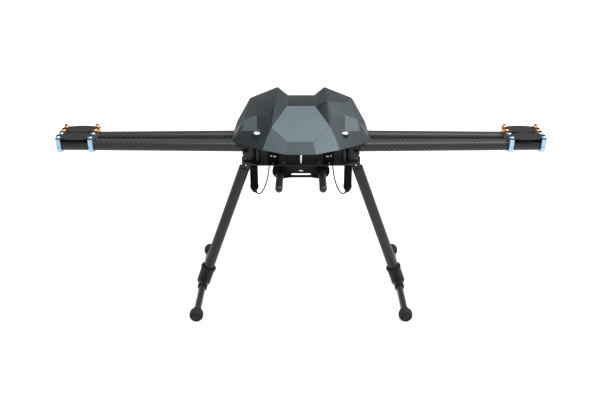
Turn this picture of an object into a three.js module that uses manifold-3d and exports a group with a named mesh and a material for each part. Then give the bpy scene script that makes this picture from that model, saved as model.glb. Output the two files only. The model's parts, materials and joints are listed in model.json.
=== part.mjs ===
// Folding-arm multirotor frame in its carry layout: a hub of two carbon plates under a faceted
// canopy, four folding arms with clamped motor mounts, two retracting landing legs on skids, and
// twin payload rails with a sliding battery tray.
//
// Millimetres. +X right, +Y to the rear, +Z up. The origin is on the floor under the hub's centre.
// Everything above the skids is placed from the height of the arm tubes' axis, ARM_Z.
import * as THREE from "three";
import { mergeVertices } from "three/addons/utils/BufferGeometryUtils.js";
import Module from "manifold-3d";

const wasm = await Module();
wasm.setup();

// ---------------------------------------------------------------- driving dimensions
const GAP = 0.3; // between pieces that touch
const ARM_Z = 384; // arm tube axis above the floor

// Hub plates, heights from the arm axis
const PLATE_T = 2;
const BOTTOM_TOP = -29.5;
const BOTTOM_LOW = BOTTOM_TOP - PLATE_T;
const UPPER_LOW = 14.8;
const UPPER_TOP = UPPER_LOW + PLATE_T;
const POST_X = 94;
const POST_Y = -50;
const POST_R = 4;
const STUD_R = 3;
const STANDOFF_Y = -58;
const STANDOFF_R = 2.75;

// Arms
const PIVOT_X = 110;
const PIVOT_Y = 29.6;
const PIVOT_R = 4;
const TOE_DEG = 1.23; // the folded arms close slightly on each other
const ARM_R = 12.5;
const ARM_WALL = 1.5;
const ARM_START = 17; // along the arm, from its pivot
const ARM_END = 423;
const ROOT_R = 16;
const SPIGOT_END = 45; // of the arm root, inside the tube
const MOTOR_REACH = 383;
const CLAMP_OFFSET = 35;
const CLAMP_W = 9.5;
const CLAMP_HALF = 17.5;
const KNOB_X = 12.5;
const KNOB_Z = -8;
const KNOB_R = 4.5;

// Landing legs
const SKID_X = 238.5;
const SKID_Z = -368; // skid tube axis, from the arm axis
const LEG_TILT_DEG = 20;
const LEG_LENGTH = 338; // leg pivot to skid axis
const LEG_TOP = 16.5; // leg pivot to the tube's upper end
const LEG_R = 12.5;
const SKID_R = 8;
const FOOT_Y = 140;
const FOOT_R = 16;

// Payload rails
const RAIL_X = 46;
const RAIL_Z = -50;
const RAIL_R = 8;
const RAIL_HALF = 150;
const HANGER_Y = 50;
const HANGER_R = 17;
const CLIP_Y = 22;
const CLIP_R = 11.5;
const TRAY_TOP = -67.8;

// Retract drive
const DRIVE_X = 107;
const DRIVE_R = 9.2;
const BRACKET_LOW = -52; // above the motor; the cheeks round the axle go lower
const CABLE_R = 1.5;
const GLAND_X = 70;
const GLAND_LOW = -36;

// Canopy
const RIM_Z = 14.5;
const SHELL_T = 2;
const SEAT_Z = 36.5; // flat pad under each thumb nut
const SEAT_R = 7.8;
const SEAT_DEPTH = 10; // the boss below the pad

// ---------------------------------------------------------------- finishes
const finish = (color, roughness, metalness) =>
  new THREE.MeshStandardMaterial({ color, roughness, metalness });
const CARBON = finish(0x2b2d2e, 0.35, 0.1);
const SHELL = finish(0x4a5053, 0.4, 0.1);
const BLACK_METAL = finish(0x1b1c1e, 0.45, 0.7);
const BLACK_PLASTIC = finish(0x1c1d1e, 0.6, 0);
const BLUE = finish(0x4f9be0, 0.3, 0.9);
const ORANGE = finish(0xe07a2a, 0.3, 0.9);
const SILVER = finish(0xc9ccd0, 0.3, 0.9);
const RUBBER = finish(0x232425, 0.85, 0);
const BOARD = finish(0x1d3b2a, 0.5, 0);

// ---------------------------------------------------------------- solids
const radians = THREE.MathUtils.degToRad;

/** A closed three.js geometry as a manifold solid, without the slivers at a lathe's poles. */
function solid(geometry) {
  const bare = new THREE.BufferGeometry();
  const loose = geometry.index ? geometry.toNonIndexed() : geometry;
  bare.setAttribute("position", loose.getAttribute("position"));
  const merged = mergeVertices(bare, 1e-4);
  const kept = [];
  for (let i = 0; i < merged.index.count; i += 3) {
    const [a, b, c] = [0, 1, 2].map((k) => merged.index.getX(i + k));
    if (a !== b && b !== c && c !== a) kept.push(a, b, c);
  }
  const mesh = new wasm.Mesh({
    numProp: 3,
    vertProperties: new Float32Array(merged.attributes.position.array),
    triVerts: new Uint32Array(kept),
  });
  return new wasm.Manifold(mesh);
}

const join = (first, ...rest) => rest.reduce((sum, next) => sum.add(next), first);
const cut = (body, ...tools) => tools.reduce((left, tool) => left.subtract(tool), body);

/** A rod between two points. */
function rod(radius, from, to, segments = 20) {
  const start = new THREE.Vector3(...from);
  const span = new THREE.Vector3(...to).sub(start);
  const geometry = new THREE.CylinderGeometry(radius, radius, span.length(), segments);
  geometry.translate(0, span.length() / 2, 0);
  const up = new THREE.Vector3(0, 1, 0);
  geometry.applyQuaternion(new THREE.Quaternion().setFromUnitVectors(up, span.normalize()));
  return solid(geometry.translate(...from));
}

const box = (low, high) =>
  solid(
    new THREE.BoxGeometry(...high.map((h, i) => h - low[i])).translate(
      ...high.map((h, i) => (h + low[i]) / 2),
    ),
  );

const tube = (outer, inner, from, to, segments = 20) =>
  cut(rod(outer, from, to, segments), rod(inner, from, to, segments));

/** A lathed body about Z from [radius, z] pairs, listed upwards. */
const turned = (profile, segments = 20) =>
  solid(
    new THREE.LatheGeometry(
      profile.map(([r, z]) => new THREE.Vector2(r, z)),
      segments,
    ).rotateX(Math.PI / 2),
  );

/** An outline with optional hole outlines, extruded from z low to z high. */
function prism(outline, low, high, holes = []) {
  const shape = new THREE.Shape(outline.map(([x, y]) => new THREE.Vector2(x, y)));
  for (const hole of holes) {
    shape.holes.push(new THREE.Path(hole.map(([x, y]) => new THREE.Vector2(x, y))));
  }
  const depth = high - low;
  return solid(
    new THREE.ExtrudeGeometry(shape, { depth, bevelEnabled: false }).translate(0, 0, low),
  );
}

/** Points of an arc about [x, y], in degrees, both ends included. */
function arc(x, y, radius, from, to, steps = 4) {
  return Array.from({ length: steps + 1 }, (_, i) => {
    const angle = radians(from + ((to - from) * i) / steps);
    return [x + radius * Math.cos(angle), y + radius * Math.sin(angle)];
  });
}

/** A slot with round ends, its long side along X. */
const slot = (x, y, length, width) => [
  ...arc(x + (length - width) / 2, y, width / 2, -90, 90),
  ...arc(x - (length - width) / 2, y, width / 2, 90, 270),
];

const circle = (x, y, radius, steps = 12) => arc(x, y, radius, 0, 360, steps).slice(0, -1);

/** Turns a body modelled along +Z so that it lies along +Y. */
const alongY = (body) => body.rotate([-90, 0, 0]);

function piece(name, body, material) {
  const { vertProperties, triVerts } = body.getMesh();
  const geometry = new THREE.BufferGeometry();
  geometry.setAttribute("position", new THREE.BufferAttribute(vertProperties, 3));
  geometry.setIndex(new THREE.BufferAttribute(triVerts, 1));
  geometry.computeVertexNormals();
  const mesh = new THREE.Mesh(geometry, material);
  mesh.name = name;
  return mesh;
}

// ---------------------------------------------------------------- hub
const SIDES = [
  ["left", -1],
  ["right", 1],
];
const ENDS = [
  ["front", -1],
  ["rear", 1],
];

/** An eight-sided plate, symmetrical both ways, from its two corner points in one quarter. */
function plateOutline([x1, y1], [x2, y2]) {
  const quarter = [
    [x1, -y1],
    [x2, -y2],
  ];
  const right = [...quarter, ...quarter.map(([x, y]) => [x, -y]).reverse()];
  return [...right, ...right.map(([x, y]) => [-x, y]).reverse()];
}

const pivotHoles = () =>
  SIDES.flatMap(([, sx]) =>
    ENDS.map(([, sy]) => circle(sx * PIVOT_X, sy * PIVOT_Y, PIVOT_R + GAP)),
  );

function bottomPlate() {
  const outline = plateOutline([95, 66], [126, 48]);
  const plate = prism(outline, BOTTOM_LOW, BOTTOM_TOP, pivotHoles());
  const glands = SIDES.map(([, s]) =>
    rod(3.5, [s * GLAND_X, 0, BOTTOM_TOP], [s * GLAND_X, 0, GLAND_LOW], 16),
  );
  return join(plate, ...glands);
}

function topPlate() {
  const postHoles = SIDES.map(([, s]) => circle(s * POST_X, POST_Y, POST_R + GAP));
  const slots = SIDES.map(([, s]) => slot(s * 62, 44, 34, 12));
  const outline = plateOutline([92, 62], [119, 40]);
  return prism(outline, UPPER_LOW, UPPER_TOP, [...pivotHoles(), ...postHoles, ...slots]);
}

/** A post from the bottom plate through the top one, with a stud for the canopy's thumb nut. */
function canopyPost(side) {
  const foot = [side * POST_X, POST_Y, BOTTOM_TOP + GAP];
  const shoulder = [side * POST_X, POST_Y, SEAT_Z - SEAT_DEPTH - GAP];
  const tip = [side * POST_X, POST_Y, SEAT_Z + 1.6];
  return join(rod(POST_R, foot, shoulder, 16), rod(STUD_R, foot, tip, 16));
}

function pivotBolt() {
  const HEAD_R = 6.5;
  const HEAD_T = 3.2;
  return turned(
    [
      [0, BOTTOM_LOW - GAP - HEAD_T],
      [HEAD_R, BOTTOM_LOW - GAP - HEAD_T],
      [HEAD_R, BOTTOM_LOW - GAP],
      [PIVOT_R, BOTTOM_LOW - GAP],
      [PIVOT_R, UPPER_TOP + GAP],
      [HEAD_R, UPPER_TOP + GAP],
      [HEAD_R, UPPER_TOP + GAP + HEAD_T],
      [0, UPPER_TOP + GAP + HEAD_T],
    ],
    16,
  );
}

function powerBoard() {
  const base = UPPER_TOP + GAP;
  const board = box([-40, -28, base], [40, 28, base + 1.6]);
  const regulator = box([-14, -9, base + 1], [14, 9, base + 7]);
  const capacitors = [-1, 1].map((s) => rod(4.5, [s * 26, 14, base + 1], [s * 26, 14, base + 12], 12));
  const connectors = [-1, 1].map((s) => box([s * 27 - 7, -24, base + 1], [s * 27 + 7, -14, base + 9]));
  return join(board, regulator, ...capacitors, ...connectors);
}

// ---------------------------------------------------------------- payload rails
function rail() {
  const tip = arc(0, RAIL_HALF - RAIL_R, RAIL_R, 0, 90, 3);
  const profile = [...tip.map(([r, z]) => [r, -z]).reverse(), ...tip];
  return alongY(turned(profile, 20));
}

/** Two round clamps on a crossbar, hung from the bottom plate. */
function railHanger() {
  const HALF_T = 6;
  const front = HANGER_Y - HALF_T;
  const back = HANGER_Y + HALF_T;
  const bar = box([-RAIL_X, front, -38], [RAIL_X, back, BOTTOM_LOW - GAP]);
  const discs = SIDES.map(([, s]) => rod(HANGER_R, [s * RAIL_X, front, RAIL_Z], [s * RAIL_X, back, RAIL_Z]));
  const bores = SIDES.map(([, s]) =>
    rod(RAIL_R + GAP, [s * RAIL_X, front - 1, RAIL_Z], [s * RAIL_X, back + 1, RAIL_Z], 20),
  );
  return cut(join(bar, ...discs), ...bores);
}

/** A strap plate with four clips that ride on the rails. */
function batteryTray() {
  const WAIST_X = 22;
  const WAIST_Y = 44;
  const outline = plateOutline([40, 50], [56, 44]).flatMap((point, i, all) => {
    const next = all[(i + 1) % all.length];
    const isEnd = point[1] === next[1] && Math.abs(point[1]) === 50;
    const sign = Math.sign(point[1]);
    const run = Math.sign(next[0] - point[0]);
    return isEnd
      ? [point, [-run * WAIST_X, sign * WAIST_Y], [run * WAIST_X, sign * WAIST_Y]]
      : [point];
  });
  const straps = [-1, 1].map((s) => slot(0, s * 28, 46, 11));
  const centre = slot(0, -10, 12, 7);
  const plate = prism(outline, TRAY_TOP - PLATE_T, TRAY_TOP, [...straps, centre]);
  const clips = SIDES.flatMap(([, sx]) =>
    [-1, 1].map((sy) => {
      const x = sx * RAIL_X;
      const [y1, y2] = [sy * CLIP_Y - 5, sy * CLIP_Y + 5];
      const web = box([x - 7, y1, TRAY_TOP - 1], [x + 7, y2, RAIL_Z - RAIL_R]);
      const ring = rod(CLIP_R, [x, y1, RAIL_Z], [x, y2, RAIL_Z]);
      const bore = rod(RAIL_R + GAP, [x, y1 - 1, RAIL_Z], [x, y2 + 1, RAIL_Z], 20);
      return cut(join(ring, web), bore);
    }),
  );
  return join(plate, ...clips);
}

// ---------------------------------------------------------------- arms, modelled along +X from the pivot
/** The machined block that turns on the pivot bolt, with a spigot glued into the tube. */
function armRoot(outward) {
  const HALF_W = 13;
  const face = ARM_START - GAP;
  const pedestal = rod(ROOT_R, [0, 0, BOTTOM_TOP + GAP], [0, 0, UPPER_LOW - GAP]);
  const head = box([0, -HALF_W, -HALF_W - 1], [face, HALF_W, HALF_W + 0.9]);
  const web = box([0, -9, -25], [face, 9, -HALF_W]);
  const spigot = rod(ARM_R - ARM_WALL - GAP, [10, 0, 0], [SPIGOT_END, 0, 0]);
  const boss = rod(4, [KNOB_X, outward * 6, KNOB_Z], [KNOB_X, outward * 16.5, KNOB_Z], 16);
  return cut(
    join(pedestal, head, web, spigot, boss),
    rod(PIVOT_R + GAP, [0, 0, BOTTOM_TOP - 1], [0, 0, UPPER_LOW + 1], 16),
    rod(2.3, [KNOB_X, outward * 9.5, KNOB_Z], [KNOB_X, outward * 17, KNOB_Z], 12),
  );
}

const armTube = () => tube(ARM_R, ARM_R - ARM_WALL, [ARM_START, 0, 0], [ARM_END, 0, 0]);

function lockKnob(outward) {
  const FACE = 16.5 + GAP;
  const shank = rod(2, [0, outward * 10, 0], [0, outward * (FACE + 1), 0], 12);
  const head = rod(KNOB_R, [0, outward * FACE, 0], [0, outward * (FACE + 7), 0], 16);
  const flutes = Array.from({ length: 8 }, (_, i) => {
    const angle = (i * Math.PI) / 4;
    const [x, z] = [KNOB_R * Math.cos(angle), KNOB_R * Math.sin(angle)];
    return rod(0.8, [x, outward * (FACE + 1.5), z], [x, outward * (FACE + 8), z], 4);
  });
  return cut(join(shank, head), ...flutes);
}

/** A split ring clamp with a flat top for the motor plate. */
function motorClamp() {
  const TOP = 18.2;
  const BOTTOM = -14.7;
  const half = [
    [9.5, BOTTOM],
    [CLAMP_HALF - 2, BOTTOM + 3.5],
    [CLAMP_HALF, BOTTOM + 8],
    [CLAMP_HALF, TOP],
  ];
  const outline = [...half, ...half.map(([y, z]) => [-y, z]).reverse()];
  const half_w = CLAMP_W / 2;
  const block = prism(outline, -half_w, half_w).rotate([90, 0, 90]);
  const splits = [-1, 1].map((s) => {
    const [y1, y2] = [s * (CLAMP_HALF - 1), s * (CLAMP_HALF + 1)].sort((a, b) => a - b);
    return box([-half_w - 1, y1, -0.4], [half_w + 1, y2, 0.4]);
  });
  return cut(block, rod(ARM_R + GAP, [-half_w - 1, 0, 0], [half_w + 1, 0, 0]), ...splits);
}

/** The plate the motor bolts to, screwed down onto both clamps. */
function motorPlate() {
  const LOW = 18.5;
  const END = CLAMP_OFFSET + CLAMP_W / 2;
  const SHOULDER = CLAMP_OFFSET - CLAMP_W / 2;
  const BULGE = 19.5;
  const BOW_R = 89;
  const edge = [
    [END, -CLAMP_HALF],
    [END, CLAMP_HALF],
    [SHOULDER, CLAMP_HALF],
    [SHOULDER - 2, 15],
  ];
  const bow = arc(0, BULGE - BOW_R, BOW_R, 72, 108, 5);
  const upper = [...edge, ...bow, ...edge.map(([x, y]) => [-x, y]).reverse()];
  const rim = upper.filter(([, y]) => y > 0);
  const outline = [...rim, ...rim.map(([x, y]) => [x, -y]).reverse()];
  const screws = [52, 142, 232, 322].map((deg) => {
    const [[x, y]] = arc(0, 0, 12, deg, deg, 1);
    return circle(x, y, 1.7, 8);
  });
  return prism(outline, LOW, LOW + PLATE_T, screws);
}

// ---------------------------------------------------------------- legs, modelled down -Z from the leg pivot
/** The lug that turns in the retract bracket, with a plug for the leg tube. */
function legSocket() {
  const COLLAR = 14.5;
  return join(
    rod(8, [0, -13, 0], [0, 13, 0], 20),
    rod(4, [0, -19, 0], [0, 19, 0], 16),
    box([-8, -10, -COLLAR - 1], [8, 10, 0]),
    rod(LEG_R, [0, 0, -LEG_TOP + GAP], [0, 0, -COLLAR]),
    rod(LEG_R - 1.5 - GAP, [0, 0, -40], [0, 0, -COLLAR - 1]),
  );
}

const legTube = () => tube(LEG_R, LEG_R - 1.5, [0, 0, -316], [0, 0, -LEG_TOP]);

/** The tee that joins the leg to its skid: a collared barrel crossed by a level sleeve. */
function legTee() {
  const TOP = -LEG_LENGTH + 42;
  const STOP = -LEG_LENGTH + 21;
  const SLEEVE_R = 11.5;
  const SLEEVE_HALF = 33;
  const barrel = turned([
    [0, -LEG_LENGTH - 6],
    [14.5, -LEG_LENGTH - 6],
    [16.3, -LEG_LENGTH - 3],
    [16.3, TOP - 6.5],
    [18.2, TOP - 5],
    [18.2, TOP],
    [0, TOP],
  ]);
  const sleeve = rod(SLEEVE_R, [0, -SLEEVE_HALF, -LEG_LENGTH], [0, SLEEVE_HALF, -LEG_LENGTH]);
  return cut(
    join(barrel, sleeve),
    rod(LEG_R + GAP, [0, 0, STOP], [0, 0, TOP + 1]),
    rod(SKID_R + GAP, [0, -SLEEVE_HALF - 1, -LEG_LENGTH], [0, SLEEVE_HALF + 1, -LEG_LENGTH], 20),
  );
}

const skidTube = () => tube(SKID_R, SKID_R - 1, [0, -FOOT_Y + 8, 0], [0, FOOT_Y - 8, 0], 20);

/** A round rubber foot, pushed over the skid's end. */
function skidFoot() {
  const HALF = 15;
  const ROUND = 7;
  const profile = [
    [0, -HALF],
    ...arc(FOOT_R - ROUND, -HALF + ROUND, ROUND, -90, 0, 3),
    ...arc(FOOT_R - ROUND, HALF - ROUND, ROUND, 0, 90, 3),
    [0, HALF],
  ];
  const bore = rod(SKID_R + GAP, [0, 0, -HALF - 1], [0, 0, -8 + GAP], 20);
  return alongY(cut(turned(profile), bore));
}

// ---------------------------------------------------------------- retract drive, modelled for the right side
const LEG_TILT = radians(LEG_TILT_DEG);
const LEG_PIVOT_X = SKID_X - LEG_LENGTH * Math.sin(LEG_TILT);
const LEG_PIVOT_Z = SKID_Z + LEG_LENGTH * Math.cos(LEG_TILT);

/** A block under the plate's edge, forked outwards into two cheeks that carry the leg's axle. */
function retractBracket() {
  const HALF_W = 19;
  const CHEEK = 13.8;
  const WALL_X = 111;
  const END_X = 132;
  const LOBE = 8; // of a cheek, below the axle
  const outline = [
    [93, BRACKET_LOW],
    [WALL_X, BRACKET_LOW],
    [LEG_PIVOT_X - 7, LEG_PIVOT_Z - LOBE],
    [LEG_PIVOT_X + 3, LEG_PIVOT_Z - LOBE],
    [END_X, LEG_PIVOT_Z],
    [END_X, BOTTOM_LOW - GAP],
    [93, BOTTOM_LOW - GAP],
  ];
  const block = prism(outline, -HALF_W, HALF_W).rotate([90, 0, 0]);
  const mouth = box([WALL_X, -CHEEK, -70], [END_X + 1, CHEEK, BOTTOM_LOW]);
  const axleY = HALF_W + 1;
  const axle = [-1, 1].map((s) => [LEG_PIVOT_X, s * axleY, LEG_PIVOT_Z]);
  return cut(block, mouth, rod(4 + GAP, ...axle, 16));
}

/** The gear motor, hanging below its bracket, with the cable's exit slanting inwards at its tip. */
const EXIT = { x: DRIVE_X - 5, z: -128.4 };
function retractMotor() {
  const TOP = BRACKET_LOW - GAP;
  const body = turned([
    [0, -126],
    [4, -126],
    [8.4, -118],
    [DRIVE_R + 0.7, -114],
    [DRIVE_R + 0.7, -109],
    [DRIVE_R, -108],
    [DRIVE_R, -61],
    [6.8, -60],
    [6.8, TOP],
    [0, TOP],
  ]).translate([DRIVE_X, 0, 0]);
  return join(body, rod(2.6, [DRIVE_X, 0, -123.07], [EXIT.x, 0, EXIT.z], 12));
}

/** The motor's cable: out of the slanted exit, round a low bend and up into the plate's gland. */
function retractCable() {
  const START = new THREE.Vector3(EXIT.x - 0.4, 0, EXIT.z - 0.44);
  const route = [
    [98.8, -130.9],
    [95, -130.6],
    [91, -127.8],
    [85.8, -119.4],
    [80.8, -107],
    [76.6, -92],
    [73.6, -75],
    [71.6, -59],
    [70.2, -46],
  ].map(([x, z]) => new THREE.Vector3(x, 0, z));
  const end = new THREE.Vector3(GLAND_X, 0, GLAND_LOW - GAP);
  const path = new THREE.CatmullRomCurve3([START, ...route, end], false, "centripetal");
  const section = new THREE.Shape(circle(0, 0, CABLE_R, 8).map(([x, y]) => new THREE.Vector2(x, y)));
  const geometry = new THREE.ExtrudeGeometry(section, { steps: 22, extrudePath: path });
  return solid(geometry);
}

// ---------------------------------------------------------------- canopy
/** Corner points of the shell's right half, [x, y, z] with z from the arm axis. */
const CORNERS = {
  rimFront: [31, -111, RIM_Z],
  rimFrontCorner: [82, -86, RIM_Z],
  rimSideFront: [149, -28, RIM_Z],
  rimSideRear: [151, 28, RIM_Z],
  rimRearCorner: [86, 88, RIM_Z],
  rimRear: [31, 111, RIM_Z],
  chin: [25, -90, 34],
  cheek: [62.5, -55, 54.5],
  jaw: [73, -70, 35.5],
  brow: [31, -6, 83.5],
  browPeak: [56, -6, 94],
  lobe: [68.5, -32, 68],
  seatLow: [94, -46, 40.5],
  seatOut: [127, -26, 33.5],
  seatHigh: [95, -8, 63],
  sideHigh: [124.5, 1, 50.5],
  roofFront: [99, 24, 81],
  roofSide: [119, 30, 70],
  peak: [51.5, 50, 109.3],
  notch: [29, 50, 90],
  roofRear: [114, 50, 84],
  flankHigh: [133, 36, 53],
  flankLow: [143, 26, 37.5],
  tail: [27, 94, 44],
  tailSide: [64, 82, 60],
  tailCorner: [106, 63, 50],
};

/** Facets of the right half, each seen from outside with its corners anticlockwise. */
const FACETS = [
  ["rimFront", "rimFrontCorner", "jaw", "cheek", "chin"],
  ["rimFrontCorner", "rimSideFront", "seatOut", "seatLow"],
  ["rimFrontCorner", "seatLow", "jaw"],
  ["cheek", "jaw", "seatLow", "seatHigh", "lobe"],
  ["brow", "cheek", "browPeak"],
  ["cheek", "lobe", "browPeak"],
  ["browPeak", "lobe", "seatHigh", "roofFront"],
  ["seatLow", "seatOut", "sideHigh", "seatHigh"],
  ["seatHigh", "sideHigh", "roofSide", "roofFront"],
  ["seatOut", "rimSideFront", "sideHigh"],
  ["sideHigh", "rimSideFront", "rimSideRear"],
  ["sideHigh", "rimSideRear", "flankLow"],
  ["sideHigh", "flankLow", "flankHigh"],
  ["sideHigh", "flankHigh", "roofSide"],
  ["roofFront", "roofSide", "roofRear"],
  ["roofSide", "flankHigh", "roofRear"],
  ["browPeak", "roofFront", "roofRear", "peak"],
  ["brow", "browPeak", "peak", "notch"],
  ["notch", "peak", "tailSide", "tail"],
  ["peak", "roofRear", "tailCorner", "tailSide"],
  ["roofRear", "flankHigh", "tailCorner"],
  ["flankHigh", "flankLow", "tailCorner"],
  ["flankLow", "rimSideRear", "tailCorner"],
  ["rimSideRear", "rimRearCorner", "tailCorner"],
  ["tailSide", "tailCorner", "rimRearCorner"],
  ["tail", "tailSide", "rimRearCorner", "rimRear"],
];

/** Facets that cross the middle, listed by their right-hand corners from front to rear. */
const MIDDLE = [
  ["rimFront", "chin"],
  ["chin", "cheek", "brow"],
  ["brow", "notch"],
  ["notch", "tail"],
  ["tail", "rimRear"],
];

/** The closed body inside the facets, shrunk by `inset` and carried down by `below`. */
function canopyBody(inset, below) {
  const reach = CORNERS.rimSideRear[0];
  const place = ([x, y, z], side) => {
    const scale = 1 - inset / reach;
    const isRim = z === RIM_Z;
    return [side * x * scale, y * (1 - (1.35 * inset) / reach), isRim ? RIM_Z - below : z - inset];
  };
  const triangles = [];
  const fan = (points) => {
    for (let i = 1; i < points.length - 1; i += 1) {
      triangles.push(...points[0], ...points[i], ...points[i + 1]);
    }
  };
  for (const names of FACETS) {
    const points = names.map((name) => CORNERS[name]);
    fan(points.map((point) => place(point, 1)));
    fan(points.map((point) => place(point, -1)).reverse());
  }
  for (const names of MIDDLE) {
    const right = names.map((name) => CORNERS[name]);
    fan([
      ...right.map((point) => place(point, 1)),
      ...right.map((point) => place(point, -1)).reverse(),
    ]);
  }
  const rim = Object.values(CORNERS).filter(([, , z]) => z === RIM_Z);
  fan([
    ...rim.map((point) => place(point, 1)).reverse(),
    ...rim.map((point) => place(point, -1)),
  ]);
  const geometry = new THREE.BufferGeometry();
  geometry.setAttribute("position", new THREE.Float32BufferAttribute(triangles, 3));
  return solid(geometry);
}

/** The shell, open below, with a flat pad and a stud hole for each thumb nut. */
function canopyShell() {
  let shell = cut(canopyBody(0, 0), canopyBody(SHELL_T, 5));
  for (const [, side] of SIDES) {
    const at = (z) => [side * POST_X, POST_Y, z];
    const well = rod(SEAT_R + SHELL_T, at(SEAT_Z - SEAT_DEPTH), at(60)).intersect(canopyBody(0, 0));
    const pad = rod(SEAT_R, at(SEAT_Z - SEAT_DEPTH), at(SEAT_Z));
    const pocket = rod(SEAT_R, at(SEAT_Z), at(60));
    shell = cut(join(shell, well, pad), pocket, rod(STUD_R + GAP, at(0), at(60), 16));
  }
  return shell;
}

function thumbNut() {
  const R = 7;
  const cap = turned([
    [0, GAP],
    [R - 0.8, GAP],
    [R, 1],
    [R, 2.4],
    [R - 0.6, 2.9],
    [0, 2.9],
  ]);
  const flutes = Array.from({ length: 10 }, (_, i) => {
    const [[x, y]] = arc(0, 0, R + 0.2, i * 36, i * 36, 1);
    return rod(0.9, [x, y, -1], [x, y, 4], 4);
  });
  return cut(cap, rod(STUD_R + GAP, [0, 0, -1], [0, 0, 1.9], 16), ...flutes);
}

// ---------------------------------------------------------------- assembly
const frame = new THREE.Group();
frame.position.z = ARM_Z;

function addHub() {
  frame.add(
    piece("bottom_plate", bottomPlate(), CARBON),
    piece("top_plate", topPlate(), CARBON),
    piece("power_board", powerBoard(), BOARD),
    piece(
      "front_standoff",
      rod(STANDOFF_R, [0, STANDOFF_Y, BOTTOM_TOP + GAP], [0, STANDOFF_Y, UPPER_LOW - GAP], 16),
      SILVER,
    ),
    piece("battery_tray", batteryTray(), CARBON),
  );
  for (const [name, s] of SIDES) {
    frame.add(piece(`canopy_post_${name}`, canopyPost(s), BLACK_METAL));
    const tubeMesh = piece(`payload_rail_${name}`, rail(), CARBON);
    tubeMesh.position.set(s * RAIL_X, 0, RAIL_Z);
    frame.add(tubeMesh);
  }
  for (const [name, s] of ENDS) {
    const hanger = piece(`rail_hanger_${name}`, railHanger(), BLACK_PLASTIC);
    hanger.rotation.z = s < 0 ? Math.PI : 0;
    frame.add(hanger);
  }
}

function addArm(end, sy, side, sx) {
  const arm = new THREE.Group();
  const toe = radians(TOE_DEG);
  arm.position.set(sx * PIVOT_X, sy * PIVOT_Y, 0);
  arm.rotation.z = sx > 0 ? -sy * toe : Math.PI + sy * toe;
  const outward = sx * sy; // the side of the arm that faces away from its neighbour
  const label = `${end}_${side}`;
  const colour = end === "front" ? BLUE : ORANGE;
  const knob = piece(`arm_lock_knob_${label}`, lockKnob(outward), BLACK_METAL);
  knob.position.set(KNOB_X, 0, KNOB_Z);
  const plate = piece(`motor_plate_${label}`, motorPlate(), CARBON);
  plate.position.x = MOTOR_REACH;
  const inner = piece(`motor_clamp_inner_${label}`, motorClamp(), colour);
  inner.position.x = MOTOR_REACH - CLAMP_OFFSET;
  const outer = piece(`motor_clamp_outer_${label}`, motorClamp(), colour);
  outer.position.x = MOTOR_REACH + CLAMP_OFFSET;
  arm.add(
    piece(`arm_root_${label}`, armRoot(outward), BLACK_METAL),
    piece(`arm_tube_${label}`, armTube(), CARBON),
    knob,
    plate,
    inner,
    outer,
  );
  const bolt = piece(`arm_pivot_${label}`, pivotBolt(), BLACK_METAL);
  bolt.position.set(sx * PIVOT_X, sy * PIVOT_Y, 0);
  frame.add(arm, bolt);
}

function addLeg(side, sx) {
  const leg = new THREE.Group();
  leg.position.set(sx * LEG_PIVOT_X, 0, LEG_PIVOT_Z);
  leg.rotation.y = -sx * LEG_TILT;
  const skid = piece(`skid_tube_${side}`, skidTube(), CARBON);
  skid.position.z = -LEG_LENGTH;
  leg.add(
    piece(`leg_socket_${side}`, legSocket(), BLACK_METAL),
    piece(`leg_tube_${side}`, legTube(), CARBON),
    piece(`leg_tee_${side}`, legTee(), BLACK_PLASTIC),
    skid,
  );
  for (const [end, sy] of ENDS) {
    const foot = piece(`skid_foot_${end}_${side}`, skidFoot(), RUBBER);
    foot.position.set(0, sy * FOOT_Y, -LEG_LENGTH);
    foot.rotation.z = sy < 0 ? Math.PI : 0;
    leg.add(foot);
  }
  frame.add(leg);
}

function addRetract(side, sx) {
  const mirrored = (body) => (sx > 0 ? body : body.mirror([1, 0, 0]));
  frame.add(
    piece(`retract_bracket_${side}`, mirrored(retractBracket()), BLACK_METAL),
    piece(`retract_motor_${side}`, mirrored(retractMotor()), BLACK_PLASTIC),
    piece(`retract_cable_${side}`, mirrored(retractCable()), RUBBER),
  );
}

function addCanopy() {
  frame.add(piece("canopy", canopyShell(), SHELL));
  for (const [name, s] of SIDES) {
    const nut = piece(`thumb_nut_${name}`, thumbNut(), SILVER);
    nut.position.set(s * POST_X, POST_Y, SEAT_Z);
    frame.add(nut);
  }
}

addHub();
for (const [side, sx] of SIDES) {
  for (const [end, sy] of ENDS) addArm(end, sy, side, sx);
  addLeg(side, sx);
  addRetract(side, sx);
}
addCanopy();

const drone = new THREE.Group();
drone.add(frame);
export default drone;
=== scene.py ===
"""Looks for the folding multirotor frame: finished pieces, materials, lights and camera.

Lengths are in millimetres until a mesh is made, and the row frame's metres after that.
"""
import json
import math

import bmesh
import bpy
from mathutils import Matrix, Vector

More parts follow.
